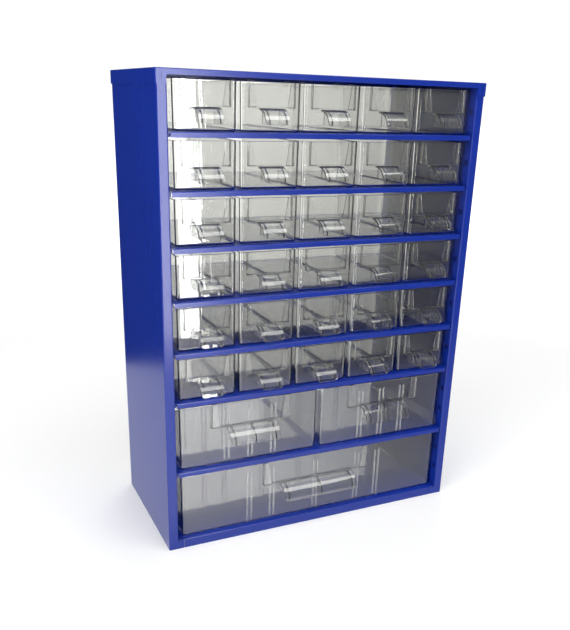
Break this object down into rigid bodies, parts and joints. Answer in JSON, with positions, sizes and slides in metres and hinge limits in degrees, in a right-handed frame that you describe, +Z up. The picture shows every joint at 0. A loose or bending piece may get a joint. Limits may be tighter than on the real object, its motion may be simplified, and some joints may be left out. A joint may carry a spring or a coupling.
{
  "type": "parts organizer",
  "caption": "Bench cabinet of folded sheet steel, open at the back, with clear drawers in small, medium and large sizes that slide out, each with a label holder and a finger hood.",
  "frame": {"origin": "centre of the footprint (drawer hoods included), on the surface the cabinet stands on", "axes": "+X to the right seen from the front, +Y from the drawer fronts to the back, +Z up"},
  "size_m": [0.306, 0.155, 0.415],
  "materials": {
    "blue_paint": "gloss",
    "clear_plastic": "gloss"
  },
  "bodies": {
    "cabinet": {"top_panel": "blue_paint", "bottom_panel": "blue_paint", "left_side_panel": "blue_paint", "right_side_panel": "blue_paint", "shelf_1": "blue_paint", "shelf_2": "blue_paint", "shelf_3": "blue_paint", "shelf_4": "blue_paint", "shelf_5": "blue_paint", "shelf_6": "blue_paint", "shelf_7": "blue_paint"},
    "small_drawer_r1_c1": {"small_drawer_r1_c1": "clear_plastic"},
    "small_drawer_r1_c2": {"small_drawer_r1_c2": "clear_plastic"},
    "small_drawer_r1_c3": {"small_drawer_r1_c3": "clear_plastic"},
    "small_drawer_r1_c4": {"small_drawer_r1_c4": "clear_plastic"},
    "small_drawer_r1_c5": {"small_drawer_r1_c5": "clear_plastic"},
    "small_drawer_r2_c1": {"small_drawer_r2_c1": "clear_plastic"},
    "small_drawer_r2_c2": {"small_drawer_r2_c2": "clear_plastic"},
    "small_drawer_r2_c3": {"small_drawer_r2_c3": "clear_plastic"},
    "small_drawer_r2_c4": {"small_drawer_r2_c4": "clear_plastic"},
    "small_drawer_r2_c5": {"small_drawer_r2_c5": "clear_plastic"},
    "small_drawer_r3_c1": {"small_drawer_r3_c1": "clear_plastic"},
    "small_drawer_r3_c2": {"small_drawer_r3_c2": "clear_plastic"},
    "small_drawer_r3_c3": {"small_drawer_r3_c3": "clear_plastic"},
    "small_drawer_r3_c4": {"small_drawer_r3_c4": "clear_plastic"},
    "small_drawer_r3_c5": {"small_drawer_r3_c5": "clear_plastic"},
    "small_drawer_r4_c1": {"small_drawer_r4_c1": "clear_plastic"},
    "small_drawer_r4_c2": {"small_drawer_r4_c2": "clear_plastic"},
    "small_drawer_r4_c3": {"small_drawer_r4_c3": "clear_plastic"},
    "small_drawer_r4_c4": {"small_drawer_r4_c4": "clear_plastic"},
    "small_drawer_r4_c5": {"small_drawer_r4_c5": "clear_plastic"},
    "small_drawer_r5_c1": {"small_drawer_r5_c1": "clear_plastic"},
    "small_drawer_r5_c2": {"small_drawer_r5_c2": "clear_plastic"},
    "small_drawer_r5_c3": {"small_drawer_r5_c3": "clear_plastic"},
    "small_drawer_r5_c4": {"small_drawer_r5_c4": "clear_plastic"},
    "small_drawer_r5_c5": {"small_drawer_r5_c5": "clear_plastic"},
    "small_drawer_r6_c1": {"small_drawer_r6_c1": "clear_plastic"},
    "small_drawer_r6_c2": {"small_drawer_r6_c2": "clear_plastic"},
    "small_drawer_r6_c3": {"small_drawer_r6_c3": "clear_plastic"},
    "small_drawer_r6_c4": {"small_drawer_r6_c4": "clear_plastic"},
    "small_drawer_r6_c5": {"small_drawer_r6_c5": "clear_plastic"},
    "medium_drawer_left": {"medium_drawer_left": "clear_plastic"},
    "medium_drawer_right": {"medium_drawer_right": "clear_plastic"},
    "large_drawer": {"large_drawer": "clear_plastic"}
  },
  "joints": [
    {"name": "small_drawer_r1_c1_slide", "type": "slide", "parent": "cabinet", "child": "small_drawer_r1_c1", "axis": [0, -1, 0], "range_m": [0, 0.1394]},
    {"name": "small_drawer_r1_c2_slide", "type": "slide", "parent": "cabinet", "child": "small_drawer_r1_c2", "axis": [0, -1, 0], "range_m": [0, 0.1394]},
    {"name": "small_drawer_r1_c3_slide", "type": "slide", "parent": "cabinet", "child": "small_drawer_r1_c3", "axis": [0, -1, 0], "range_m": [0, 0.1394]},
    {"name": "small_drawer_r1_c4_slide", "type": "slide", "parent": "cabinet", "child": "small_drawer_r1_c4", "axis": [0, -1, 0], "range_m": [0, 0.1394]},
    {"name": "small_drawer_r1_c5_slide", "type": "slide", "parent": "cabinet", "child": "small_drawer_r1_c5", "axis": [0, -1, 0], "range_m": [0, 0.1394]},
    {"name": "small_drawer_r2_c1_slide", "type": "slide", "parent": "cabinet", "child": "small_drawer_r2_c1", "axis": [0, -1, 0], "range_m": [0, 0.1394]},
    {"name": "small_drawer_r2_c2_slide", "type": "slide", "parent": "cabinet", "child": "small_drawer_r2_c2", "axis": [0, -1, 0], "range_m": [0, 0.1394]},
    {"name": "small_drawer_r2_c3_slide", "type": "slide", "parent": "cabinet", "child": "small_drawer_r2_c3", "axis": [0, -1, 0], "range_m": [0, 0.1394]},
    {"name": "small_drawer_r2_c4_slide", "type": "slide", "parent": "cabinet", "child": "small_drawer_r2_c4", "axis": [0, -1, 0], "range_m": [0, 0.1394]},
    {"name": "small_drawer_r2_c5_slide", "type": "slide", "parent": "cabinet", "child": "small_drawer_r2_c5", "axis": [0, -1, 0], "range_m": [0, 0.1394]},
    {"name": "small_drawer_r3_c1_slide", "type": "slide", "parent": "cabinet", "child": "small_drawer_r3_c1", "axis": [0, -1, 0], "range_m": [0, 0.1394]},
    {"name": "small_drawer_r3_c2_slide", "type": "slide", "parent": "cabinet", "child": "small_drawer_r3_c2", "axis": [0, -1, 0], "range_m": [0, 0.1394]},
    {"name": "small_drawer_r3_c3_slide", "type": "slide", "parent": "cabinet", "child": "small_drawer_r3_c3", "axis": [0, -1, 0], "range_m": [0, 0.1394]},
    {"name": "small_drawer_r3_c4_slide", "type": "slide", "parent": "cabinet", "child": "small_drawer_r3_c4", "axis": [0, -1, 0], "range_m": [0, 0.1394]},
    {"name": "small_drawer_r3_c5_slide", "type": "slide", "parent": "cabinet", "child": "small_drawer_r3_c5", "axis": [0, -1, 0], "range_m": [0, 0.1394]},
    {"name": "small_drawer_r4_c1_slide", "type": "slide", "parent": "cabinet", "child": "small_drawer_r4_c1", "axis": [0, -1, 0], "range_m": [0, 0.1394]},
    {"name": "small_drawer_r4_c2_slide", "type": "slide", "parent": "cabinet", "child": "small_drawer_r4_c2", "axis": [0, -1, 0], "range_m": [0, 0.1394]},
    {"name": "small_drawer_r4_c3_slide", "type": "slide", "parent": "cabinet", "child": "small_drawer_r4_c3", "axis": [0, -1, 0], "range_m": [0, 0.1394]},
    {"name": "small_drawer_r4_c4_slide", "type": "slide", "parent": "cabinet", "child": "small_drawer_r4_c4", "axis": [0, -1, 0], "range_m": [0, 0.1394]},
    {"name": "small_drawer_r4_c5_slide", "type": "slide", "parent": "cabinet", "child": "small_drawer_r4_c5", "axis": [0, -1, 0], "range_m": [0, 0.1394]},
    {"name": "small_drawer_r5_c1_slide", "type": "slide", "parent": "cabinet", "child": "small_drawer_r5_c1", "axis": [0, -1, 0], "range_m": [0, 0.1394]},
    {"name": "small_drawer_r5_c2_slide", "type": "slide", "parent": "cabinet", "child": "small_drawer_r5_c2", "axis": [0, -1, 0], "range_m": [0, 0.1394]},
    {"name": "small_drawer_r5_c3_slide", "type": "slide", "parent": "cabinet", "child": "small_drawer_r5_c3", "axis": [0, -1, 0], "range_m": [0, 0.1394]},
    {"name": "small_drawer_r5_c4_slide", "type": "slide", "parent": "cabinet", "child": "small_drawer_r5_c4", "axis": [0, -1, 0], "range_m": [0, 0.1394]},
    {"name": "small_drawer_r5_c5_slide", "type": "slide", "parent": "cabinet", "child": "small_drawer_r5_c5", "axis": [0, -1, 0], "range_m": [0, 0.1394]},
    {"name": "small_drawer_r6_c1_slide", "type": "slide", "parent": "cabinet", "child": "small_drawer_r6_c1", "axis": [0, -1, 0], "range_m": [0, 0.1394]},
    {"name": "small_drawer_r6_c2_slide", "type": "slide", "parent": "cabinet", "child": "small_drawer_r6_c2", "axis": [0, -1, 0], "range_m": [0, 0.1394]},
    {"name": "small_drawer_r6_c3_slide", "type": "slide", "parent": "cabinet", "child": "small_drawer_r6_c3", "axis": [0, -1, 0], "range_m": [0, 0.1394]},
    {"name": "small_drawer_r6_c4_slide", "type": "slide", "parent": "cabinet", "child": "small_drawer_r6_c4", "axis": [0, -1, 0], "range_m": [0, 0.1394]},
    {"name": "small_drawer_r6_c5_slide", "type": "slide", "parent": "cabinet", "child": "small_drawer_r6_c5", "axis": [0, -1, 0], "range_m": [0, 0.1394]},
    {"name": "medium_drawer_left_slide", "type": "slide", "parent": "cabinet", "child": "medium_drawer_left", "axis": [0, -1, 0], "range_m": [0, 0.1394]},
    {"name": "medium_drawer_right_slide", "type": "slide", "parent": "cabinet", "child": "medium_drawer_right", "axis": [0, -1, 0], "range_m": [0, 0.1394]},
    {"name": "large_drawer_slide", "type": "slide", "parent": "cabinet", "child": "large_drawer", "axis": [0, -1, 0], "range_m": [0, 0.1394]}
  ]
}
